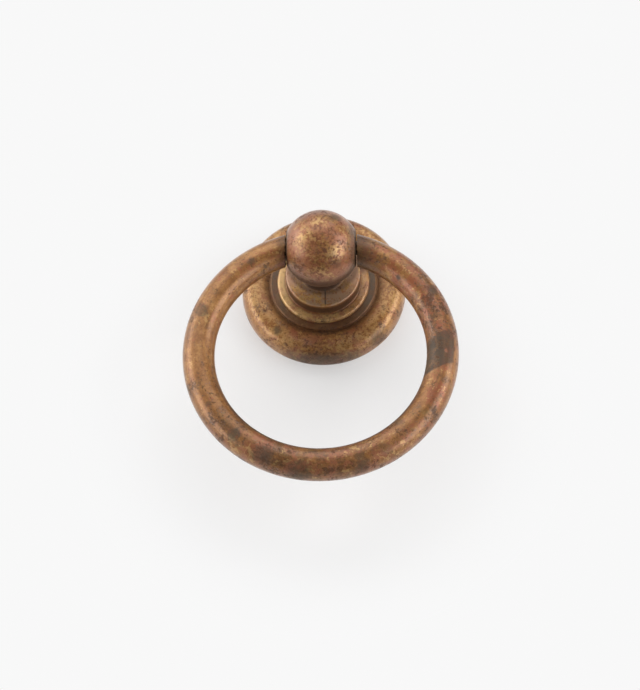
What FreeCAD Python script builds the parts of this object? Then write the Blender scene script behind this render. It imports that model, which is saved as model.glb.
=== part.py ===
import FreeCAD, Part
import math
import os
import Sketcher
from FreeCAD import Placement, Rotation, Vector

os.makedirs("parts", exist_ok=True)
doc = FreeCAD.newDocument("ring_pull")
sheet = doc.addObject("Spreadsheet::Sheet", "Sizes")


class Size:
    """A length in millimetres that carries its formula on the sheet along with its value."""

    def __init__(self, formula, value):
        self.formula = formula
        self.value = value

    def __add__(self, other):
        return Size(f"({self.formula} + {other.formula})", self.value + other.value)

    def __sub__(self, other):
        return Size(f"({self.formula} - {other.formula})", self.value - other.value)

    def __neg__(self):
        return Size(f"(-{self.formula})", -self.value)

    def __mul__(self, other):
        return Size(f"({self.formula} * {other.formula})", self.value * other.value)

    def __rmul__(self, factor):
        return Size(f"({factor} * {self.formula})", factor * self.value)


def height_on_circle(radius, aside):
    """Height of a point on a circle about its centre, at a distance aside from the middle."""
    return Size(f"sqrt({radius.formula} ^ 2 - {aside.formula} ^ 2)", math.sqrt(radius.value ** 2 - aside.value ** 2))


def reach_of_round(radius, slope):
    """Distance from a corner at which its rounding starts, between an upright side and a sloping top."""
    run = Size(f"(sqrt(1 + {slope.formula} ^ 2) + {slope.formula})", math.sqrt(1 + slope.value ** 2) + slope.value)
    return radius * run


named_sizes = []
nothing = Size("0", 0.0)


def size(name, value):
    """Puts one driving size on the sheet under its own name."""
    named_sizes.append(name)
    row = len(named_sizes)
    sheet.set(f"A{row}", name)
    sheet.set(f"B{row}", str(value))
    sheet.setAlias(f"B{row}", name)
    return Size(f"Sizes.{name}", value)


# Backplate: a round rosette with a full round rim that falls to the foot of a raised hub
rosette_radius = size("rosette_radius", 15.0)
rim_fullness = size("rim_fullness", 0.59)
rim_fall = size("rim_fall", 0.5)
rim_land = size("rim_land", 0.05)
hub_radius = size("hub_radius", 9.75)
hub_step = size("hub_step", 0.74)
hub_edge_round = size("hub_edge_round", 0.35)
hub_foot_round = size("hub_foot_round", 0.15)
seat_height = size("seat_height", 5.05)

# Rivet joint between the post and the backplate, flush with the back
spigot_radius = size("spigot_radius", 4.0)
spigot_clearance = size("spigot_clearance", 0.05)
rivet_radius = size("rivet_radius", 5.2)
rivet_depth = size("rivet_depth", 1.2)

# Post: a stepped foot, a collar, a neck and a ball with a flat on each side
flange_radius = size("flange_radius", 8.4)
flange_thickness = size("flange_thickness", 0.75)
flange_round = size("flange_round", 0.6)
collar_radius = size("collar_radius", 6.75)
collar_foot_round = size("collar_foot_round", 0.25)
collar_height = size("collar_height", 2.75)
collar_edge_round = size("collar_edge_round", 0.35)
collar_crown = size("collar_crown", 0.8)
neck_radius = size("neck_radius", 3.9)
neck_foot_round = size("neck_foot_round", 0.6)
pivot_height = size("pivot_height", 17.8)
ball_radius = size("ball_radius", 6.84)
flat_distance = size("flat_distance", 6.05)
screw_hole_radius = size("screw_hole_radius", 1.65)
screw_hole_depth = size("screw_hole_depth", 10.0)

# Ring and the pin that it swings on
ring_radius = size("ring_radius", 21.13)
wire_radius = size("wire_radius", 2.78)
end_gap = size("end_gap", 0.3)
end_round = size("end_round", 0.3)
pin_radius = size("pin_radius", 1.2)
pin_clearance = size("pin_clearance", 0.05)
pin_offset = size("pin_offset", 0.48)
pin_grip = size("pin_grip", 2.1)
pin_end_gap = size("pin_end_gap", 0.1)
pin_chamfer = size("pin_chamfer", 0.2)

rim_width = rosette_radius - hub_radius
rim_front_round = rim_fullness * rim_width
foot_height = seat_height - hub_step
rim_corner_height = foot_height + rim_fall * rim_width
rim_back_round = rim_corner_height - reach_of_round(rim_front_round, rim_fall) - rim_land
flange_top = seat_height + flange_thickness
collar_top = flange_top + collar_height
crown_top = collar_top + collar_crown
ring_end = flat_distance + end_gap
pin_reach = ring_end + pin_grip
ring_drop = height_on_circle(ring_radius, ring_end) + pin_offset
doc.recompute()


def bind(feature, **sizes):
    """Ties properties of a feature to formulas on the sheet; a double underscore stands for a dot."""
    for name, length in sizes.items():
        feature.setExpression(name.replace("__", "."), length.formula)


def new_body(label, turn):
    """Starts one piece, turned as a whole about the sideways axis."""
    body = doc.addObject("PartDesign::Body", label)
    body.Label = label
    body.Placement = Placement(Vector(0, 0, 0), Rotation(Vector(1, 0, 0), turn))
    return body


def unit(vector):
    return vector / vector.Length


def hold_point(sketch, geometry, end, corner):
    """Fixes one point of a sketch at its radius and height."""
    for kind, axis, length in (("DistanceX", -2, corner[0]), ("DistanceY", -1, corner[1])):
        if length is nothing:
            sketch.addConstraint(Sketcher.Constraint("PointOnObject", geometry, end, axis))
            continue
        index = sketch.addConstraint(Sketcher.Constraint(kind, -1, 1, geometry, end, length.value))
        sketch.setExpression(f"Constraints[{index}]", length.formula)


def rounded_corner(before, corner, after, radius):
    """Tangent points and middle of the arc that rounds a corner."""
    towards_before = unit(before - corner)
    towards_after = unit(after - corner)
    half_angle = towards_before.getAngle(towards_after) / 2
    reach = radius / math.tan(half_angle)
    inward = unit(towards_before + towards_after)
    middle = corner + inward * (radius / math.sin(half_angle) - radius)
    return corner + towards_before * reach, middle, corner + towards_after * reach


def turned_profile(body, name, corners):
    """Draws the closed half section of a turned piece from corners of radius, height and rounding."""
    sketch = body.newObject("Sketcher::SketchObject", name)
    plane = [item for item in body.Origin.OriginFeatures if item.Role == "XY_Plane"][0]
    sketch.AttachmentSupport = [(plane, "")]
    sketch.MapMode = "FlatFace"
    points = [Vector(corner[0].value, corner[1].value, 0) for corner in corners]
    count = len(corners)
    starts = list(points)
    ends = list(points)
    middles = {}
    for index, corner in enumerate(corners):
        if corner[2] is nothing:
            continue
        before = points[index - 1]
        after = points[(index + 1) % count]
        ends[index], middles[index], starts[index] = rounded_corner(
            before, points[index], after, corner[2].value)
    lines = []
    for index in range(count):
        line = Part.LineSegment(starts[index], ends[(index + 1) % count])
        lines.append(sketch.addGeometry(line, False))
    for index, corner in enumerate(corners):
        arriving = lines[index - 1]
        leaving = lines[index]
        if index not in middles:
            sketch.addConstraint(Sketcher.Constraint("Coincident", arriving, 2, leaving, 1))
            hold_point(sketch, leaving, 1, corner)
            continue
        arc = sketch.addGeometry(Part.Arc(ends[index], middles[index], starts[index]), False)
        first = 1
        if (sketch.getPoint(arc, 1) - ends[index]).Length > (sketch.getPoint(arc, 2) - ends[index]).Length:
            first = 2
        sketch.addConstraint(Sketcher.Constraint("Tangent", arriving, 2, arc, first))
        sketch.addConstraint(Sketcher.Constraint("Tangent", arc, 3 - first, leaving, 1))
        sharp = sketch.addGeometry(Part.Point(points[index]), True)
        sketch.addConstraint(Sketcher.Constraint("PointOnObject", sharp, 1, arriving))
        sketch.addConstraint(Sketcher.Constraint("PointOnObject", sharp, 1, leaving))
        hold_point(sketch, sharp, 1, corner)
        held = sketch.addConstraint(Sketcher.Constraint("Radius", arc, corner[2].value))
        sketch.setExpression(f"Constraints[{held}]", corner[2].formula)
    return sketch


def turned(body, name, corners):
    """Turns a half section about the axis of the piece."""
    sketch = turned_profile(body, name + "_section", corners)
    turning = body.newObject("PartDesign::Revolution", name)
    turning.Profile = sketch
    turning.ReferenceAxis = (sketch, ["V_Axis"])
    turning.Angle = 360
    sketch.Visibility = False
    doc.recompute()
    return turning


def shaped(body, kind, name, turn=None, **sizes):
    """Adds or takes away a simple solid; what takes away must leave the piece smaller."""
    volume = body.Shape.Volume if body.Tip else 0.0
    feature = body.newObject("PartDesign::" + kind, name)
    if turn:
        feature.Placement = Placement(Vector(0, 0, 0), turn)
    bind(feature, **sizes)
    doc.recompute()
    change = body.Shape.Volume - volume
    if kind.startswith("Subtractive") and change > -1e-4:
        raise RuntimeError(f"{name} takes nothing away")
    if kind.startswith("Additive") and change < 1e-4:
        raise RuntimeError(f"{name} adds nothing")
    return feature


sideways = Rotation(Vector(0, 1, 0), 90)
forwards = Rotation(Vector(1, 0, 0), -90)


def make_rosette():
    """Backplate that lies flat on the drawer front."""
    bore_radius = spigot_radius + spigot_clearance
    recess_radius = rivet_radius + spigot_clearance
    body = new_body("rosette", 180)
    turned(body, "rosette_turning", [
        (bore_radius, rivet_depth, nothing),
        (recess_radius, rivet_depth, nothing),
        (recess_radius, nothing, nothing),
        (rosette_radius, nothing, rim_back_round),
        (rosette_radius, rim_corner_height, rim_front_round),
        (hub_radius, foot_height, hub_foot_round),
        (hub_radius, seat_height, hub_edge_round),
        (bore_radius, seat_height, nothing),
    ])
    return body


def make_post():
    """Post that stands on the hub, with the ball that carries the ring."""
    body = new_body("post", 180)
    neck_top = pivot_height - neck_radius
    turned(body, "stem_turning", [
        (nothing, nothing, nothing),
        (rivet_radius, nothing, nothing),
        (rivet_radius, rivet_depth, nothing),
        (spigot_radius, rivet_depth, nothing),
        (spigot_radius, seat_height, nothing),
        (flange_radius, seat_height, nothing),
        (flange_radius, flange_top, flange_round),
        (collar_radius, flange_top, collar_foot_round),
        (collar_radius, collar_top, collar_edge_round),
        (neck_radius, crown_top, neck_foot_round),
        (neck_radius, neck_top, nothing),
        (nothing, neck_top, nothing),
    ])
    shaped(body, "AdditiveSphere", "ball", sideways, Radius=ball_radius, Placement__Base__y=pivot_height)
    for name, corner in (("right_flat", flat_distance), ("left_flat", -flat_distance - ball_radius)):
        shaped(body, "SubtractiveBox", name,
               Length=ball_radius, Width=2 * ball_radius, Height=2 * ball_radius,
               Placement__Base__x=corner,
               Placement__Base__y=pivot_height - ball_radius,
               Placement__Base__z=-ball_radius)
    shaped(body, "SubtractiveCylinder", "pin_hole", sideways,
           Radius=pin_radius + pin_clearance, Height=2 * ball_radius,
           Placement__Base__x=-ball_radius, Placement__Base__y=pivot_height)
    shaped(body, "SubtractiveCylinder", "screw_hole", forwards,
           Radius=screw_hole_radius, Height=screw_hole_depth)
    return body


def make_ring():
    """Ring of round wire, open at the top, with a blind hole for the pin in each end."""
    body = new_body("ring", 0)
    bind(body, Placement__Base__y=-pivot_height)
    shaped(body, "AdditiveTorus", "wire", forwards,
           Radius1=ring_radius, Radius2=wire_radius, Placement__Base__z=-ring_drop)
    opening = shaped(body, "SubtractiveBox", "opening",
                     Length=2 * ring_end, Width=4 * wire_radius, Height=ring_drop + 2 * wire_radius,
                     Placement__Base__x=-ring_end,
                     Placement__Base__y=-2 * wire_radius,
                     Placement__Base__z=-ring_drop)
    ends = []
    for index, edge in enumerate(opening.Shape.Edges):
        box = edge.BoundBox
        if box.XLength < 1e-4 and abs(abs(box.XMin) - ring_end.value) < 1e-4:
            ends.append(f"Edge{index + 1}")
    rounding = body.newObject("PartDesign::Fillet", "end_rounding")
    rounding.Base = (opening, ends)
    bind(rounding, Radius=end_round)
    doc.recompute()
    hole_reach = pin_reach + pin_end_gap
    shaped(body, "SubtractiveCylinder", "pin_holes", sideways,
           Radius=pin_radius, Height=2 * hole_reach, Placement__Base__x=-hole_reach)
    return body


def make_pin():
    """Pin through the ball, held in both ends of the ring."""
    body = new_body("pivot_pin", 0)
    bind(body, Placement__Base__y=-pivot_height)
    rod = shaped(body, "AdditiveCylinder", "rod", sideways,
                 Radius=pin_radius, Height=2 * pin_reach, Placement__Base__x=-pin_reach)
    rims = [f"Edge{index + 1}" for index, edge in enumerate(rod.Shape.Edges) if edge.BoundBox.XLength < 1e-4]
    chamfer = body.newObject("PartDesign::Chamfer", "pin_ends")
    chamfer.Base = (rod, rims)
    bind(chamfer, Size=pin_chamfer)
    doc.recompute()
    return body


pieces = [make_rosette(), make_post(), make_pin(), make_ring()]
doc.recompute()

for item in doc.Objects:
    if "Invalid" in item.State or "Error" in item.State:
        raise RuntimeError(f"{item.Label} did not build")
for piece in pieces:
    shape = piece.Shape
    if shape.isNull() or not shape.isValid() or len(shape.Solids) != 1:
        raise RuntimeError(f"{piece.Label} is not one sound solid")
    shape.exportStep(f"parts/{piece.Label}.step")
    print(piece.Label, "volume", round(shape.Volume, 2), shape.BoundBox)
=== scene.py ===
import math

import bpy
from mathutils import Matrix, Vector


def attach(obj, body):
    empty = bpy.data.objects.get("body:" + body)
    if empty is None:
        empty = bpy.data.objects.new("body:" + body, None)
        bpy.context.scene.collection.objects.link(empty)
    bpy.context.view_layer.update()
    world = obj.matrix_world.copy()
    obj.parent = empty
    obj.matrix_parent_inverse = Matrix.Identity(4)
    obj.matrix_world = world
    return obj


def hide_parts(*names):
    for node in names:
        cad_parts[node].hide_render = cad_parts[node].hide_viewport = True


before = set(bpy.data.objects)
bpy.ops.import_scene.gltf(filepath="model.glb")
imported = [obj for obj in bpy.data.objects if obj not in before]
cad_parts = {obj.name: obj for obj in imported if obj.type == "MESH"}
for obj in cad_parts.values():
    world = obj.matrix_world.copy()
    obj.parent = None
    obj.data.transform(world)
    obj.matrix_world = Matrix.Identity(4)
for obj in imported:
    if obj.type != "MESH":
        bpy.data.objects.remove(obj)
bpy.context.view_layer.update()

MM = 0.001

# Backplate: sizes in millimetres, as for the rest of the pull, the same as in the solids
PLATE_RADIUS = 15.0
PLATE_BACK_ROUND = 1.87
HUB_RADIUS = 9.75
HUB_STEP = 0.74
HUB_FOOT_ROUND = 0.15
HUB_EDGE_ROUND = 0.35
SEAT_HEIGHT = 5.05
RIM_FALL = 0.5
RIM_FULLNESS = 0.59
RIM_WIDTH = PLATE_RADIUS - HUB_RADIUS
RIM_ROUND = RIM_FULLNESS * RIM_WIDTH
HUB_FOOT_HEIGHT = SEAT_HEIGHT - HUB_STEP
RIM_CORNER_HEIGHT = HUB_FOOT_HEIGHT + RIM_FALL * RIM_WIDTH

# Rivet joint of the post and the backplate
SPIGOT_RADIUS = 4.0
RIVET_RADIUS = 5.2
RIVET_DEPTH = 1.2
RIVET_CLEARANCE = 0.05

# Post
FLANGE_RADIUS = 8.4
FLANGE_THICKNESS = 0.75
FLANGE_ROUND = 0.6
COLLAR_RADIUS = 6.75
COLLAR_HEIGHT = 2.75
COLLAR_FOOT_ROUND = 0.25
COLLAR_EDGE_ROUND = 0.35
CROWN_RISE = 0.8
NECK_RADIUS = 3.9
NECK_FOOT_ROUND = 0.6
PIVOT_HEIGHT = 17.8
BALL_RADIUS = 6.84
FLAT_DISTANCE = 6.05
SCREW_HOLE_RADIUS = 1.65
SCREW_HOLE_DEPTH = 10.0
BALL_HOLE_RADIUS = 1.25
BALL_HOLE_END = 10.0
FLANGE_TOP = SEAT_HEIGHT + FLANGE_THICKNESS
COLLAR_TOP = FLANGE_TOP + COLLAR_HEIGHT
CROWN_TOP = COLLAR_TOP + CROWN_RISE
NECK_TOP = PIVOT_HEIGHT - math.sqrt(BALL_RADIUS ** 2 - NECK_RADIUS ** 2)

# Ring
RING_RADIUS = 21.13
WIRE_RADIUS = 2.78
END_GAP = 0.3
END_ROUND = 0.3
PIN_OFFSET = 0.48
RING_HOLE_RADIUS = 1.21
RING_HOLE_DEPTH = 2.2
RING_END = FLAT_DISTANCE + END_GAP
RING_HOLE_END = RING_END + RING_HOLE_DEPTH
RING_DROP = math.sqrt(RING_RADIUS ** 2 - RING_END ** 2) + PIN_OFFSET

# Fineness of the meshes, and how close two points are to be the same one
CORNER_STEPS = 14
TURN_STEPS = 240
BALL_STEPS = 72
HOLE_STEPS = 64
RING_STEPS = 288
WIRE_STEPS = 72
END_STEPS = 4
SAME_POINT = 0.001
MERGE_DISTANCE = 0.002


# Modelling by hand

def take(piece):
    """Makes a piece the only selected object and the active one."""
    bpy.ops.object.select_all(action="DESELECT")
    bpy.context.view_layer.objects.active = piece
    piece.select_set(True)


def done():
    """Closes the piece that is open for editing."""
    bpy.ops.object.mode_set(mode="OBJECT")


def pick(piece, mode, test):
    """Selects what passes a test in millimetres: points, edges by both ends or faces by their middle."""
    bpy.ops.mesh.select_mode(type=mode)
    bpy.ops.mesh.select_all(action="DESELECT")
    done()
    mesh = piece.data
    if mode == "VERT":
        for point in mesh.vertices:
            point.select = test(point.co / MM)
    elif mode == "EDGE":
        passed = [test(point.co / MM) for point in mesh.vertices]
        for edge in mesh.edges:
            edge.select = all(passed[index] for index in edge.vertices)
    else:
        for face in mesh.polygons:
            face.select = test(face.center / MM)
    bpy.ops.object.mode_set(mode="EDIT")


def near(place):
    """A test for one point."""
    return lambda point: (point - place).length < SAME_POINT


def half_section(name, corners):
    """Draws the half section of a turned piece: edges through corners of radius, height and rounding."""
    bpy.ops.object.select_all(action="DESELECT")
    bpy.ops.mesh.primitive_plane_add(size=MM)
    piece = bpy.context.object
    piece.name = name
    places = [Vector((radius, -height, 0)) for radius, height, _ in corners]
    bpy.ops.object.mode_set(mode="EDIT")
    bpy.ops.mesh.select_all(action="SELECT")
    bpy.ops.mesh.merge(type="CENTER")
    bpy.ops.transform.translate(value=places[0] * MM)
    for here, there in zip(places, places[1:]):
        bpy.ops.mesh.extrude_vertices_move(TRANSFORM_OT_translate={"value": (there - here) * MM})
    for index, (_, _, rounding) in enumerate(corners):
        if not rounding:
            continue
        before = (places[index - 1] - places[index]).normalized()
        after = (places[index + 1] - places[index]).normalized()
        reach = rounding / math.tan(before.angle(after) / 2)
        pick(piece, "VERT", near(places[index]))
        bpy.ops.mesh.bevel(
            offset_type="OFFSET", offset=reach * MM, segments=CORNER_STEPS, profile=0.5, affect="VERTICES")
    return piece


def turn_round(piece):
    """Spins an open half section about the axis of the post and closes it."""
    bpy.ops.mesh.select_all(action="SELECT")
    bpy.ops.mesh.spin(steps=TURN_STEPS, angle=math.tau, center=(0, 0, 0), axis=(0, 1, 0))
    bpy.ops.mesh.select_all(action="SELECT")
    bpy.ops.mesh.remove_doubles(threshold=MERGE_DISTANCE * MM)
    bpy.ops.mesh.normals_make_consistent(inside=False)
    done()


def bore(piece, radius, end):
    """Drills a hole along the pivot into a piece, as far as an end on each side."""
    bpy.ops.object.select_all(action="DESELECT")
    bpy.ops.mesh.primitive_cylinder_add(
        vertices=HOLE_STEPS, radius=radius * MM, depth=2 * end * MM,
        location=(0, -PIVOT_HEIGHT * MM, 0), rotation=(0, math.radians(90), 0))
    drill = bpy.context.object
    take(piece)
    cut = piece.modifiers.new("pin hole", "BOOLEAN")
    cut.operation = "DIFFERENCE"
    cut.solver = "EXACT"
    cut.object = drill
    bpy.ops.object.modifier_apply(modifier=cut.name)
    bpy.data.objects.remove(drill)


def smooth(piece, angle=35):
    """Shades a piece smooth, apart from edges sharper than an angle in degrees."""
    take(piece)
    bpy.ops.object.shade_smooth_by_angle(angle=math.radians(angle))


def make_rosette():
    """Backplate: full round rim that falls to the foot of a raised hub, bored for the post."""
    bore_radius = SPIGOT_RADIUS + RIVET_CLEARANCE
    recess_radius = RIVET_RADIUS + RIVET_CLEARANCE
    piece = half_section("rosette_plate", [
        (bore_radius, SEAT_HEIGHT, 0),
        (bore_radius, RIVET_DEPTH, 0),
        (recess_radius, RIVET_DEPTH, 0),
        (recess_radius, 0, 0),
        (PLATE_RADIUS, 0, PLATE_BACK_ROUND),
        (PLATE_RADIUS, RIM_CORNER_HEIGHT, RIM_ROUND),
        (HUB_RADIUS, HUB_FOOT_HEIGHT, HUB_FOOT_ROUND),
        (HUB_RADIUS, SEAT_HEIGHT, HUB_EDGE_ROUND),
        (bore_radius, SEAT_HEIGHT, 0),
    ])
    turn_round(piece)
    smooth(piece)
    return piece


def make_post():
    """Post: rivet foot, flange, collar, neck and ball, with a flat and the pin's hole on each side."""
    piece = half_section("post_body", [
        (0, SCREW_HOLE_DEPTH, 0),
        (SCREW_HOLE_RADIUS, SCREW_HOLE_DEPTH, 0),
        (SCREW_HOLE_RADIUS, 0, 0),
        (RIVET_RADIUS, 0, 0),
        (RIVET_RADIUS, RIVET_DEPTH, 0),
        (SPIGOT_RADIUS, RIVET_DEPTH, 0),
        (SPIGOT_RADIUS, SEAT_HEIGHT, 0),
        (FLANGE_RADIUS, SEAT_HEIGHT, 0),
        (FLANGE_RADIUS, FLANGE_TOP, FLANGE_ROUND),
        (COLLAR_RADIUS, FLANGE_TOP, COLLAR_FOOT_ROUND),
        (COLLAR_RADIUS, COLLAR_TOP, COLLAR_EDGE_ROUND),
        (NECK_RADIUS, CROWN_TOP, NECK_FOOT_ROUND),
        (NECK_RADIUS, NECK_TOP, 0),
    ])
    pick(piece, "VERT", near(Vector((NECK_RADIUS, -NECK_TOP, 0))))
    sweep = math.pi - math.asin(NECK_RADIUS / BALL_RADIUS)
    bpy.ops.mesh.spin(steps=BALL_STEPS, angle=sweep, center=(0, -PIVOT_HEIGHT * MM, 0), axis=(0, 0, 1))
    turn_round(piece)
    take(piece)
    bpy.ops.object.mode_set(mode="EDIT")
    for side in (1, -1):
        pick(piece, "FACE", lambda middle: middle.y < BALL_RADIUS - PIVOT_HEIGHT)
        bpy.ops.mesh.bisect(
            plane_co=(side * FLAT_DISTANCE * MM, 0, 0), plane_no=(side, 0, 0),
            clear_outer=True, use_fill=True)
    done()
    bore(piece, BALL_HOLE_RADIUS, BALL_HOLE_END)
    smooth(piece, angle=25)
    return piece


def make_ring():
    """Ring: round wire cut square at both ends, with softened edges and the pin's holes."""
    bpy.ops.object.select_all(action="DESELECT")
    bpy.ops.mesh.primitive_torus_add(
        location=(0, -PIVOT_HEIGHT * MM, -RING_DROP * MM), rotation=(math.radians(90), 0, 0),
        major_radius=RING_RADIUS * MM, minor_radius=WIRE_RADIUS * MM,
        major_segments=RING_STEPS, minor_segments=WIRE_STEPS)
    piece = bpy.context.object
    piece.name = "ring_wire"
    bpy.ops.object.transform_apply(location=True, rotation=True, scale=True)
    take(piece)
    bpy.ops.object.mode_set(mode="EDIT")
    near_ends = RING_END + WIRE_RADIUS
    for side in (1, -1):
        pick(piece, "FACE", lambda middle: abs(middle.x) < near_ends and middle.z > -RING_DROP)
        bpy.ops.mesh.bisect(plane_co=(side * RING_END * MM, 0, 0), plane_no=(1, 0, 0))
    pick(piece, "FACE", lambda middle: abs(middle.x) < RING_END and middle.z > -RING_DROP)
    bpy.ops.mesh.delete(type="FACE")
    for side in (1, -1):
        pick(piece, "EDGE", lambda point: (
            abs(point.x - side * RING_END) < SAME_POINT and point.z > -RING_DROP))
        bpy.ops.mesh.edge_face_add()
        bpy.ops.mesh.bevel(offset=END_ROUND * MM, segments=END_STEPS, affect="EDGES")
    bpy.ops.mesh.select_all(action="SELECT")
    bpy.ops.mesh.normals_make_consistent(inside=False)
    done()
    bore(piece, RING_HOLE_RADIUS, RING_HOLE_END)
    smooth(piece)
    return piece


# Camera

def towards(azimuth, elevation):
    """The direction from the pull at an angle to the right of its front and an angle above, in degrees."""
    azimuth, elevation = math.radians(azimuth), math.radians(elevation)
    flat = Vector((math.sin(azimuth), -math.cos(azimuth), 0))
    return flat * math.cos(elevation) + Vector((0, 0, math.sin(elevation)))


# Angles in degrees, places in millimetres, and the focal length in pixels of the photograph
CAMERA_AZIMUTH = 1.989
CAMERA_ELEVATION = -26.667
CAMERA_ROLL = 0.421
CAMERA_DISTANCE = 401.122
CAMERA_AIM = Vector((-0.721, 0, -10.208))
FOCAL_PIXELS = 2200
PICTURE_HEIGHT_PIXELS = 690
SENSOR_SIZE = 36

back = towards(CAMERA_AZIMUTH, CAMERA_ELEVATION)
level = towards(CAMERA_AZIMUTH + 90, 0)
roll = math.radians(CAMERA_ROLL)
right = math.cos(roll) * level + math.sin(roll) * back.cross(level)
up = back.cross(right)
lens = bpy.data.cameras.new("camera")
lens.lens = FOCAL_PIXELS * SENSOR_SIZE / PICTURE_HEIGHT_PIXELS
lens.sensor_width = SENSOR_SIZE
lens.clip_start = 0.01
camera = bpy.data.objects.new("camera", lens)
bpy.context.scene.collection.objects.link(camera)
turned = Matrix((right, up, back)).transposed().to_4x4()
camera.matrix_world = Matrix.Translation((CAMERA_AIM + back * CAMERA_DISTANCE) * MM) @ turned
bpy.context.scene.camera = camera


# Finishes

class Value:
    """A number that changes over a surface; sums, products and powers of it become nodes."""

    def __init__(self, nodes, socket):
        self.nodes = nodes
        self.socket = socket

    def __add__(self, other):
        return self.nodes.maths("ADD", self, other)

    def __sub__(self, other):
        return self.nodes.maths("SUBTRACT", self, other)

    def __rsub__(self, other):
        return self.nodes.maths("SUBTRACT", other, self)

    def __mul__(self, other):
        return self.nodes.maths("MULTIPLY", self, other)

    def __pow__(self, other):
        return self.nodes.maths("POWER", self, other)

    __radd__ = __add__
    __rmul__ = __mul__


class Nodes:
    """The nodes of a material or of the world."""

    def __init__(self, tree):
        self.tree = tree

    def node(self, kind, settings=None, sockets=None):
        """Adds a node, sets it up and fills its sockets by name or number."""
        node = self.tree.nodes.new(kind)
        for name, value in (settings or {}).items():
            if name == "stops":
                ramp = node.color_ramp
                while len(ramp.elements) < len(value):
                    ramp.elements.new(0.5)
                for element, (position, colour) in zip(ramp.elements, value):
                    element.position = position
                    element.color = (*colour, 1)
            else:
                setattr(node, name, value)
        for name, value in (sockets or {}).items():
            self.put(node.inputs[name], value)
        return node

    def put(self, socket, value):
        """Gives a socket a number, a colour or a link."""
        if isinstance(value, Value):
            value = value.socket
        if isinstance(value, bpy.types.NodeSocket):
            self.tree.links.new(value, socket)
        elif socket.type == "RGBA":
            socket.default_value = (*value, 1)
        else:
            socket.default_value = value

    def maths(self, operation, *values):
        """One operation on numbers."""
        node = self.node("ShaderNodeMath", {"operation": operation}, dict(enumerate(values)))
        return Value(self, node.outputs[0])

    def most(self, *values):
        """The largest of several values."""
        best = values[0]
        for value in values[1:]:
            best = self.maths("MAXIMUM", best, value)
        return best

    def ramp(self, value, low, high):
        """Rises smoothly from 0 at low to 1 at high."""
        node = self.node("ShaderNodeMapRange", {"interpolation_type": "SMOOTHSTEP"}, {
            "Value": value, "From Min": low, "From Max": high})
        return Value(self, node.outputs[0])

    def band(self, value, low, high, soft):
        """One between low and high, fading out over a soft edge."""
        return self.ramp(value, low - soft, low + soft) * self.ramp(value, high + soft, high - soft)

    def mix(self, factor, first, second):
        """Goes from a first colour to a second one."""
        node = self.node("ShaderNodeMix", {"data_type": "RGBA"}, {0: factor, 6: first, 7: second})
        return node.outputs[2]

    def rays(self, *kinds):
        """For each kind of ray a value that is 1 for such rays and 0 for others."""
        outputs = self.node("ShaderNodeLightPath").outputs
        return [Value(self, outputs[f"Is {kind} Ray"]) for kind in kinds]


class Finish(Nodes):
    """One material, with its coordinates in millimetres in the frame of the pull."""

    def __init__(self, name):
        self.material = bpy.data.materials.new(name)
        self.material.use_nodes = True
        super().__init__(self.material.node_tree)
        self.shader = self.tree.nodes["Principled BSDF"]
        metres = self.node("ShaderNodeTexCoord").outputs["Object"]
        self.place = self.node("ShaderNodeVectorMath", {"operation": "SCALE"}, {
            "Vector": metres, "Scale": 1 / MM}).outputs["Vector"]
        split = self.node("ShaderNodeSeparateXYZ", {}, {"Vector": self.place}).outputs
        self.across, self.depth, self.upright = (Value(self, split[axis]) for axis in "XYZ")
        self.height = self.depth * -1
        self.radius = (self.across ** 2 + self.upright ** 2) ** 0.5

    def shade(self, values):
        """Gives the shader its values by the names of its sockets."""
        for name, value in values.items():
            self.put(self.shader.inputs[name], value)

    def bump(self, height, strength):
        """A normal for a surface that stands up by a height in millimetres."""
        return self.node("ShaderNodeBump", {}, {
            "Height": height, "Strength": strength, "Distance": MM}).outputs[0]

    def moved(self, across, depth, upright):
        """The place, moved, which gives a texture another pattern."""
        return self.node("ShaderNodeMapping", {}, {
            "Vector": self.place, "Location": (across, depth, upright)}).outputs[0]

    def noise(self, scale, detail, roughness, shift):
        """Cloudy variation about zero, finer with a larger scale; each shift gives another pattern."""
        node = self.node("ShaderNodeTexNoise", {}, {
            "Vector": self.moved(shift, 2 * shift, -shift),
            "Scale": scale, "Detail": detail, "Roughness": roughness})
        return Value(self, node.outputs[0]) - 0.5

    def specks(self, scale, size, share, shift):
        """Small round spots, of which only a share is kept."""
        node = self.node("ShaderNodeTexVoronoi", {}, {
            "Vector": self.moved(shift, -shift, shift), "Scale": scale})
        chance = self.node("ShaderNodeSeparateColor", {}, {"Color": node.outputs["Color"]})
        spot = self.ramp(Value(self, node.outputs["Distance"]), size, 0.4 * size)
        return spot * self.ramp(Value(self, chance.outputs[0]), 1 - share, 1.02 - share)

    def blotch(self, centre, radius, soft, ragged):
        """A ragged patch about a point of the pull."""
        node = self.node("ShaderNodeVectorMath", {"operation": "DISTANCE"}, {0: self.place, 1: centre})
        return self.ramp(Value(self, node.outputs["Value"]) + ragged, radius + soft, radius - soft)


class Patina(Finish):
    """A finish with the patterns of aged copper, each about zero."""

    def __init__(self, name):
        super().__init__(name)
        self.cloud = self.noise(scale=0.16, detail=4, roughness=0.6, shift=11)
        self.mottle = self.noise(scale=0.55, detail=7, roughness=0.7, shift=5)
        self.fleck = self.noise(scale=2.4, detail=4, roughness=0.65, shift=7)
        self.grime = self.noise(scale=0.3, detail=7, roughness=0.7, shift=29)
        self.hue = self.noise(scale=0.4, detail=7, roughness=0.72, shift=41)
        self.chips = self.noise(scale=1.5, detail=5, roughness=0.72, shift=53)
        self.ragged = self.grime * 4 + self.mottle * 2.5 + self.fleck * 0.8
        self.grit = self.chips + self.fleck * 0.6


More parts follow.
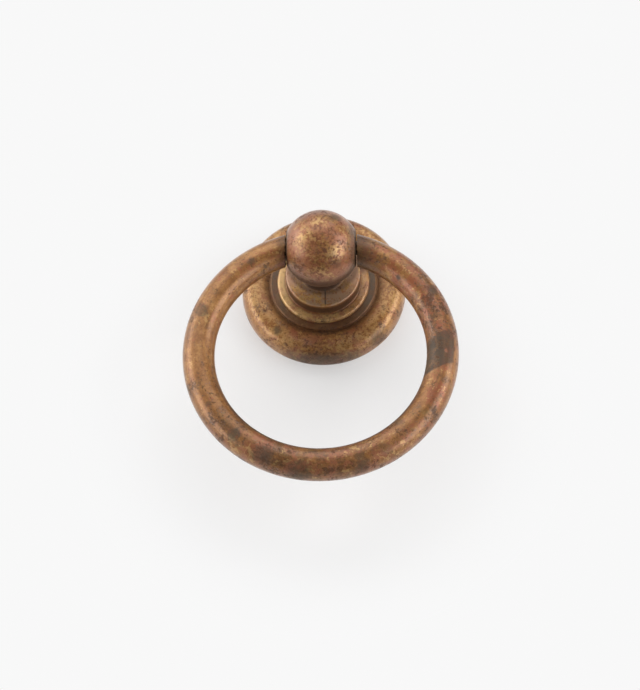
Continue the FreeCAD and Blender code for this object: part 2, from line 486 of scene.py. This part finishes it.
DARK_BROWN = (0.075, 0.034, 0.015)
BROWN = (0.17, 0.071, 0.023)
COPPER = (0.3, 0.123, 0.031)
TAN = (0.43, 0.203, 0.057)
GOLD = (0.62, 0.38, 0.14)
RED_COPPER = (0.32, 0.092, 0.036)
LILAC = (0.28, 0.16, 0.105)
OLIVE = (0.19, 0.13, 0.045)
ASH = (0.44, 0.285, 0.175)
CHARCOAL = (0.07, 0.052, 0.034)
RUST = (0.12, 0.042, 0.014)
STEEL = (0.16, 0.14, 0.12)
TARNISH = (0.07, 0.04, 0.025)
PAPER = (0.94, 0.94, 0.94)

# Copper from dark to light
COPPER_TONES = [(0.22, DARK_BROWN), (0.38, BROWN), (0.5, COPPER), (0.62, TAN), (0.82, GOLD)]

# What the zones of a piece may change: tone, redness, amount of pits and chips, ash grey, golden wear
# and painted highlight, brown grime and painted shade, charcoal (in some places painted shade) and the
# colour of the pits
NO_ZONES = {
    "lift": 0, "red": 0, "grain": 0, "pale": 0, "gold_wear_and_highlight": 0, "painted_shade_and_grime": 0, "patch": 0, "stain": DARK_BROWN,
}


def aged_copper(name, zones):
    """Waxed copper: islands of several browns, golden and red flecks, grime, charcoal patches and pits,
    with painted highlights and painted shade from the zones.
    """
    copper = Patina(name)
    mottle, fleck, grime = copper.mottle, copper.fleck, copper.grime
    hue, chips, grit = copper.hue, copper.chips, copper.grit
    zone = {**NO_ZONES, **zones(copper)}
    tone = 0.5 + copper.cloud * 0.35 + mottle * 0.5 + fleck * 0.35 + zone["lift"]
    colour = copper.node("ShaderNodeValToRGB", {"stops": COPPER_TONES}, {"Fac": tone}).outputs[0]
    colour = copper.mix(copper.ramp(hue + zone["red"], 0.04, 0.1) * 0.6, colour, RED_COPPER)
    colour = copper.mix(copper.ramp(hue, -0.08, -0.14) * 0.4, colour, OLIVE)
    colour = copper.mix(copper.ramp(fleck + hue + zone["red"] * 0.6, 0.1, 0.14) * 0.6, colour, RED_COPPER)
    colour = copper.mix(copper.ramp(grime - fleck + zone["red"] * 0.3, 0.13, 0.17) * 0.5, colour, LILAC)
    colour = copper.mix(zone["pale"] * copper.ramp(hue + grit, -0.08, 0.02), colour, ASH)
    # Golden: worn chips, and the zones' golden wear and painted highlights
    wear_and_highlight = copper.most(
        zone["gold_wear_and_highlight"] * copper.ramp(grit + mottle * 0.6, -0.03, 0.03),
        copper.ramp(chips - grime * 1.2 + zone["grain"], 0.17, 0.21) * 0.5)
    colour = copper.mix(wear_and_highlight, colour, GOLD)
    # Dark brown: the zones' painted shade and grime, and grime from the noise
    dull = copper.most(zone["painted_shade_and_grime"], copper.ramp(grime + mottle * 0.5 + fleck * 0.3, 0.08, 0.14) * 0.5)
    colour = copper.mix(dull, colour, DARK_BROWN)
    patch = zone["patch"] * (0.55 + copper.ramp(mottle + chips * 0.8, -0.1, 0.04) * 0.45)
    colour = copper.mix(patch, colour, CHARCOAL)
    pits = copper.most(
        copper.specks(scale=1.1, size=0.2, share=0.3, shift=3),
        copper.specks(scale=2.3, size=0.26, share=0.3, shift=9),
        copper.ramp(grime * 0.9 - chips + zone["grain"], 0.13, 0.16) * 0.85)
    colour = copper.mix(pits * 0.7, colour, zone["stain"])
    covered = copper.most(dull, patch, pits)
    grazing = Value(copper, copper.node("ShaderNodeLayerWeight", {}, {"Blend": 0.5}).outputs["Facing"])
    sheen = (1 - covered) * grazing ** 2 * 0.6
    relief = grime * 0.06 + mottle * 0.06 + fleck * 0.025 - pits * 0.04 - patch * 0.01
    copper.shade({
        "Base Color": colour,
        "Metallic": 0.4 - covered * 0.2 + wear_and_highlight * 0.2,
        "Roughness": 0.45 + covered * 0.12 - wear_and_highlight * 0.06 + mottle * 0.25 + fleck * 0.1,
        "Specular IOR Level": 0.4,
        "Coat Weight": 0.52 - covered * 0.48 + mottle * 0.7 + sheen,
        "Coat Roughness": 0.28,
        "Normal": copper.bump(relief, 0.6),
    })
    return copper.material


# Dark spots of the ring: degrees round it from its lowest point, degrees round the wire
# from the front towards the outside, size and strength
RING_SPOTS = [
    (-149, -55, 0.4, 0.7), (-144, -10, 0.7, 0.6), (-109, 20, 1.1, 0.8), (-60, 15, 0.5, 0.7),
    (-47, 10, 1.0, 0.35), (-41, 15, 1.1, 0.8), (-25, 25, 1.6, 0.8), (-9, 60, 2.0, 0.7), (18, 60, 1.3, 0.7),
    (18, 15, 0.8, 0.5), (30, 25, 1.0, 0.4), (43, -35, 1.0, 0.5), (119, 25, 1.1, 0.8), (135, -45, 0.5, 0.8),
]


def on_ring(turn, lean):
    """The point of the ring at degrees round it from its lowest point and round the wire from the front."""
    turn, lean = math.radians(turn), math.radians(lean)
    reach = RING_RADIUS + WIRE_RADIUS * math.sin(lean)
    height = PIVOT_HEIGHT + WIRE_RADIUS * math.cos(lean)
    return Vector((reach * math.sin(turn), -height, -RING_DROP - reach * math.cos(turn)))


def ring_zones(copper):
    """Tan at the left, redder and darker below, sooty at the right, darker inside below, and painted shade
    where the ends face the ball.
    """
    across, upright, ragged, ramp = copper.across, copper.upright, copper.ragged, copper.ramp
    below = upright + RING_DROP
    from_middle = (across ** 2 + below ** 2) ** 0.5
    lower = ramp(upright, -29, -41)
    left = ramp(across, -9, -18)
    upper = ramp(upright, -20, -8)
    upper_right = ramp(across, 4, 12) * upper
    upper_left = ramp(across, -5, -10) * upper
    right_side = ramp(across, 14, 18) * copper.band(upright, -19, -9, 3)
    angle = copper.maths("ARCTAN2", across, below * -1)
    along = copper.node("ShaderNodeCombineXYZ", {}, {
        "X": angle * 4, "Y": from_middle * 1.6, "Z": copper.depth * 1.6})
    streak = Value(copper, copper.node("ShaderNodeTexNoise", {}, {
        "Vector": along.outputs[0], "Scale": 1, "Detail": 4, "Roughness": 0.65}).outputs[0]) - 0.5
    # Darker along the inside of the wire on the lower half
    inward = (RING_RADIUS - from_middle - ragged * 0.1) * (1 / WIRE_RADIUS)
    inside = ramp(inward, 0.66, 0.86) * ramp(upright, -22, -34)
    # Painted shade where the ends face the ball: brown, and charcoal on the right end
    ends = ramp(upright, -9, -6)
    left_end = ramp(across + ragged * 0.4, -8.5, -6.6) * ramp(across, 0, -1) * 0.5
    right_end = ramp(across + ragged * 0.8, 11, 7.5) * ramp(across, 0, 1) * 0.75
    slant = upright - across * 0.425
    soot_lower_edge = ramp(slant + ragged * 0.15, -33.7, -33.3)
    soot_upper_edge = ramp(slant + ragged * 1.3, -26.4, -27.4)
    soot_outer_edge = ramp(from_middle + ragged * 0.3, 23.2, 22.8)
    bare = copper.blotch(on_ring(87, 10), 0.35, 0.15, ragged * 0.35)
    soot = soot_lower_edge * soot_upper_edge * soot_outer_edge * ramp(across, 10, 12) * (1 - bare * 0.9)
    brown_soot = soot * ramp(from_middle, 20, 21) * 0.5
    black_soot = soot * (0.58 + ramp(from_middle, 21.5, 20.5) * 0.3)
    spots = [
        copper.blotch(on_ring(turn, lean), size, 0.4 * size, ragged * 0.6 * size) * strength
        for turn, lean, size, strength in RING_SPOTS]
    return {
        # Darker and redder towards the bottom: partly patina, partly painted shade
        "lift": streak * 0.3 + upper_left * 0.04 - lower * 0.04 - right_side * 0.06,
        "grain": lower * 0.05 + upper_right * 0.04 + right_side * 0.04,
        "red": lower * 0.05 + upper_right * 0.07 - left * 0.06 + bare * 0.4,
        "pale": lower * 0.12,
        "painted_shade_and_grime": copper.most((left_end + right_end * 0.5) * ends, inside * 0.9, brown_soot),
        "patch": copper.most(right_end * ends * 0.5, black_soot, *spots),
    }


def rosette_zones(copper):
    """Charcoal seat of the hub, painted shade at the foot of its wall, golden wear and painted highlight on
    the rim at both sides, painted shade along the lower edge.
    """
    across, upright, radius = copper.across, copper.upright, copper.radius
    ragged, grit, ramp = copper.ragged, copper.grit, copper.ramp
    front = ramp(copper.height, 3.4, 4)
    seat_grime = 0.6 + ramp(grit + ragged * 0.3, -0.25, 0.2) * 0.5
    seat = ramp(radius, HUB_RADIUS - 0.15, HUB_RADIUS - 0.45) * front * seat_grime
    crease = ramp(radius, FLANGE_RADIUS + 0.5, FLANGE_RADIUS + 0.2)
    # Painted shade in the hollow at the foot of the hub's wall, on the front
    foot = ramp(radius + ragged * 0.15, HUB_RADIUS + 1.45, HUB_RADIUS + 0.15) * front * 0.62
    # Golden wear and painted highlight on the rim at both sides
    rim = copper.band(radius, HUB_RADIUS + 1.45, PLATE_RADIUS - 0.8, 0.8)
    side = ramp(copper.maths("ABSOLUTE", across), 4, 10)
    right_side = ramp(across, 6, 10)
    lower = ramp(upright, -9, -12)
    lower_crest = lower * ramp(radius, PLATE_RADIUS - 0.6, PLATE_RADIUS - 1.4)
    # Painted shade along the lower edge of the rim, in charcoal
    edge = ramp(radius + ragged * 0.4, PLATE_RADIUS - 1.4, PLATE_RADIUS - 0.2) * ramp(upright, -12.5, -14)
    lower_right = copper.blotch((10.1, -3.6, -11), 1.8, 1.2, ragged)
    lower_left = copper.blotch((-8.3, -4.8, -9.6), 0.8, 0.4, ragged * 0.5)
    return {
        # Lighter at both sides: partly painted highlight
        "lift": side * 0.07 - right_side * 0.025 + lower_crest * 0.08 + grit * (0.1 + lower * 0.6),
        "grain": 0.04 + lower * 0.03 - side * 0.04,
        "red": lower * 0.05 - side * 0.05,
        "gold_wear_and_highlight": rim * side * 0.4,
        "pale": lower * 0.18,
        "painted_shade_and_grime": copper.most(foot, seat * (0.2 + crease * 0.5)),
        "patch": copper.most(seat * (0.2 + side * 0.65), edge * 0.75, lower_right * 0.7, lower_left * 0.7),
    }


def on_ball(across, above):
    """The point of the ball seen from the camera at a distance across and above its middle."""
    nearer = math.sqrt(BALL_RADIUS ** 2 - across ** 2 - above ** 2)
    return Vector((0, -PIVOT_HEIGHT, 0)) + across * right + above * up + nearer * back


# Golden wear and painted highlights of the ball: distance across and above its middle as the camera sees
# it, and size
GOLD_AND_HIGHLIGHT_SPOTS = [(-2.8, 2.1, 1.2), (-0.5, 4.6, 1.5), (2.9, -0.9, 1.2), (1.6, -1.8, 1.2)]


def ball_zones(copper):
    """Ball with golden clusters that are partly painted highlights, brown clusters, rusty pits, painted
    shade on its underside and flats, and grey edges.
    """
    across, upright, height = copper.across, copper.upright, copper.height
    ragged, grit, ramp, blotch = copper.ragged, copper.grit, copper.ramp, copper.blotch
    ball = ramp(height, PIVOT_HEIGHT - 3.8, PIVOT_HEIGHT - 1.8)
    # Painted shade on the ball's underside, above the collar
    shade_under_ball = ramp(height + ragged * 0.25, PIVOT_HEIGHT + 2, PIVOT_HEIGHT - 1)
    shade_under_ball = shade_under_ball * ramp(upright, -1.5, -3.5) * ramp(height, 12, 12.5)
    beside = copper.maths("ABSOLUTE", across)
    # Painted shade on the flats, in the gap to the ring's ends
    flat = ramp(beside, FLAT_DISTANCE - 0.25, FLAT_DISTANCE - 0.05) * ball
    right_edge = ramp(across + ragged * 0.25, 4.4, 5.7) * 0.55
    left_edge = ramp(across + ragged * 0.2, -5, -6) * 0.25
    # Golden wear, partly painted highlights
    gold_and_highlight = copper.most(*(
        blotch(on_ball(aside, above), size, 1.0, ragged * 0.6) for aside, above, size in GOLD_AND_HIGHLIGHT_SPOTS))
    brown = copper.most(
        blotch(on_ball(0.2, 0.5), 2.4, 1.2, ragged),
        blotch(on_ball(-0.85, 3.0), 0.9, 0.6, ragged),
        blotch(on_ball(-0.5, -4.2), 1.3, 1.0, ragged)) * ramp(grit, 0.01, -0.03)
    return {
        "lift": ball * (0.05 + grit * 0.25),
        "grain": ball * 0.04,
        "stain": copper.mix(ball, DARK_BROWN, RUST),
        "red": ball * 0.1,
        "pale": ball * 0.1,
        "gold_wear_and_highlight": gold_and_highlight * 0.6,
        "painted_shade_and_grime": copper.most(shade_under_ball * 0.9, brown * 0.4, flat * 0.9),
        "patch": copper.most(
            copper.most(right_edge, left_edge) * ball,
            blotch(on_ball(0, 6.6), 1.5, 1.0, ragged * 0.4) * 0.35,
            blotch(on_ball(2.5, 5.4), 0.9, 0.5, ragged * 0.5) * 0.8,
            blotch(on_ball(2.7, -2.9), 0.7, 0.5, ragged * 0.5) * 0.6),
    }


def post_zones(copper):
    """The ball's zones, painted shade on the neck, on the crown by the ball and beside the ring's right
    end, dark collar wall, pale crown and flange with golden wear and a painted highlight at its edge, and
    the seam of the casting.
    """
    across, upright, radius, height = copper.across, copper.upright, copper.radius, copper.height
    ragged, ramp, band = copper.ragged, copper.ramp, copper.band
    zone = ball_zones(copper)
    wall = band(height, FLANGE_TOP + 0.1, COLLAR_TOP - 0.65, 0.4)
    wall = wall * ramp(radius, COLLAR_RADIUS + 0.65, COLLAR_RADIUS + 0.25)
    crown = band(height, COLLAR_TOP - 0.25, CROWN_TOP + 0.05, 0.2)
    # Painted shadow of the ball on the crown, wider at the sides
    from_joint = radius - upright * 0.36 + ragged * 0.15
    ball_shadow_on_crown = ramp(from_joint, COLLAR_RADIUS + 0.05, COLLAR_RADIUS - 0.85) * crown
    flange_level = band(height, SEAT_HEIGHT + 0.15, FLANGE_TOP + 0.1, 0.1)
    flange = flange_level * ramp(radius, COLLAR_RADIUS + 0.15, COLLAR_RADIUS + 0.45)
    # Golden wear and painted highlight on the flange's edge, left of the middle
    lip_wear_and_highlight = flange_level * band(radius, FLANGE_RADIUS - 0.5, FLANGE_RADIUS - 0.1, 0.15)
    # Painted shade on the neck under the ball
    neck = ramp(height + ragged * 0.12, CROWN_TOP - 0.35, CROWN_TOP + 0.25) * ramp(height, 13, 12.5)
    below = ramp(upright, -2.5, -3.5)
    seam = band(across, 0.36, 0.6, 0.1) * ramp(height, 8.4, 8.7) * ramp(height, 10, 9.6) * below
    soft_level = band(height, SEAT_HEIGHT + 0.15, FLANGE_TOP + 0.1, 0.2)
    faint_seam = band(across, 0.1, 0.3, 0.1) * soft_level * below
    # Painted shade on the collar and flange beside the ring's right end, seen through its gap
    shade_beside_ring_end = copper.blotch((6.4, -7.6, 3.6), 2.9, 1.2, ragged * 0.7) * ramp(upright, 0.5, 1.5)
    crown_sides = ramp(copper.maths("ABSOLUTE", across), 3, 6)
    return {
        **zone,
        "lift": zone["lift"] + crown * 0.22 + flange * (0.3 - ramp(across, 2, 7) * 0.2),
        "red": zone["red"] + crown * 0.1,
        "pale": copper.most(zone["pale"], crown * (0.9 - crown_sides * 0.3), flange * 0.25),
        "gold_wear_and_highlight": copper.most(zone["gold_wear_and_highlight"], lip_wear_and_highlight * ramp(across, 4, 0) * 0.3),
        "painted_shade_and_grime": copper.most(
            zone["painted_shade_and_grime"], wall * 0.88, neck, faint_seam * 0.4, shade_beside_ring_end * 0.85, ball_shadow_on_crown * 0.6),
        "patch": copper.most(zone["patch"], seam * 0.9),
    }


def tarnished_steel():
    """Pin: drawn steel, brown with tarnish in the dark of the joint."""
    steel = Finish("pin steel")
    tarnish = steel.ramp(steel.noise(scale=0.9, detail=4, roughness=0.6, shift=2), -0.2, 0.2)
    lines = steel.noise(scale=7, detail=2, roughness=0.5, shift=4)
    steel.shade({
        "Base Color": steel.mix(tarnish, STEEL, TARNISH),
        "Metallic": 0.9 - tarnish * 0.4,
        "Roughness": 0.4 + tarnish * 0.2 + lines * 0.2,
        "Normal": steel.bump(lines * 0.01, 0.5),
    })
    return steel.material


# Pieces
for piece, body, node, material in (
        (make_rosette(), "base", "rosette", aged_copper("rosette copper", rosette_zones)),
        (make_post(), "base", "post", aged_copper("post copper", post_zones)),
        (make_ring(), "swinging_ring", "ring", aged_copper("ring copper", ring_zones))):
    piece.data.materials.append(material)
    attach(piece, body)
    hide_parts(node)
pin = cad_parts["pivot_pin"]
pin.data.materials.clear()
pin.data.materials.append(tarnished_steel())


# Stage

# The backdrop's size in metres and its gap to the pull in millimetres
BACKDROP_SIZE = 4
BACKDROP_GAP = 0.2

# Middle of the shadow below the pivot, and how far from it the fading starts and stops, in millimetres
SHADOW_DROP = 20
SHADOW_INSIDE = 22
SHADOW_OUTSIDE = 46


def backdrop_paper():
    """White paper that glows away from the pull, keeps its shadow and is clear from behind."""
    paper = Finish("backdrop paper")
    paper.shade({"Base Color": PAPER, "Roughness": 1.0, "Specular IOR Level": 0.0})
    glow = paper.node("ShaderNodeEmission", {}, {"Color": PAPER, "Strength": 1}).outputs[0]
    away = (paper.across ** 2 + (paper.upright + SHADOW_DROP) ** 2) ** 0.5
    outside = 0.45 + paper.ramp(away, SHADOW_INSIDE, SHADOW_OUTSIDE) * 0.55
    lifted = paper.most(*paper.rays("Camera", "Glossy", "Transmission")) * outside
    plain = paper.shader.outputs[0]
    front = paper.node("ShaderNodeMixShader", {}, {0: lifted, 1: plain, 2: glow}).outputs[0]
    behind = paper.node("ShaderNodeNewGeometry").outputs["Backfacing"]
    clear = paper.node("ShaderNodeBsdfTransparent").outputs[0]
    one_sided = paper.node("ShaderNodeMixShader", {}, {0: behind, 1: front, 2: clear}).outputs[0]
    paper.put(paper.tree.nodes["Material Output"].inputs["Surface"], one_sided)
    return paper.material


bpy.ops.object.select_all(action="DESELECT")
bpy.ops.mesh.primitive_plane_add(
    size=BACKDROP_SIZE, location=(0, BACKDROP_GAP * MM, 0), rotation=(math.radians(90), 0, 0))
backdrop = bpy.context.object
backdrop.name = "backdrop"
bpy.ops.object.transform_apply(location=True, rotation=True, scale=True)
backdrop.data.materials.append(backdrop_paper())


# Light

# The point that the lights face in millimetres, and their distance from it in metres
LIGHT_AIM = Vector((0, -10, -15))
LIGHT_DISTANCE = 0.6


def softbox(name, azimuth, elevation, width, height, radiance):
    """A soft light that faces the pull, of a width and a height in metres."""
    direction = towards(azimuth, elevation)
    light = bpy.data.lights.new(name, "AREA")
    light.shape = "RECTANGLE"
    light.size = width
    light.size_y = height
    light.energy = radiance * math.pi * width * height
    lamp = bpy.data.objects.new(name, light)
    bpy.context.scene.collection.objects.link(lamp)
    lamp.location = LIGHT_AIM * MM + direction * LIGHT_DISTANCE
    lamp.rotation_euler = direction.to_track_quat("Z", "Y").to_euler()


softbox("left softbox", azimuth=-69, elevation=6, width=0.39, height=0.84, radiance=3.3)
softbox("right softbox", azimuth=62, elevation=-8, width=0.39, height=0.72, radiance=3.7)
softbox("top softbox", azimuth=-6, elevation=47, width=0.84, height=0.56, radiance=1.7)

# The world is white to the camera and in reflections of what lies behind the pull, and dim as a light
SKY_LIGHT = 0.1
SKY_WHITE = 0.94
world = bpy.data.worlds.new("studio")
world.use_nodes = True
sky = Nodes(world.node_tree)
direction = sky.node("ShaderNodeTexCoord").outputs["Generated"]
depth = Value(sky, sky.node("ShaderNodeSeparateXYZ", {}, {0: direction}).outputs["Y"])
seen, through, mirrored = sky.rays("Camera", "Transmission", "Glossy")
pale = sky.most(seen, through, mirrored * sky.ramp(depth, -0.05, 0.05))
sky.put(sky.tree.nodes["Background"].inputs["Color"], (1, 1, 1))
sky.put(sky.tree.nodes["Background"].inputs["Strength"], SKY_LIGHT + pale * (SKY_WHITE - SKY_LIGHT))
bpy.context.scene.world = world
bpy.context.scene.view_settings.view_transform = "Standard"
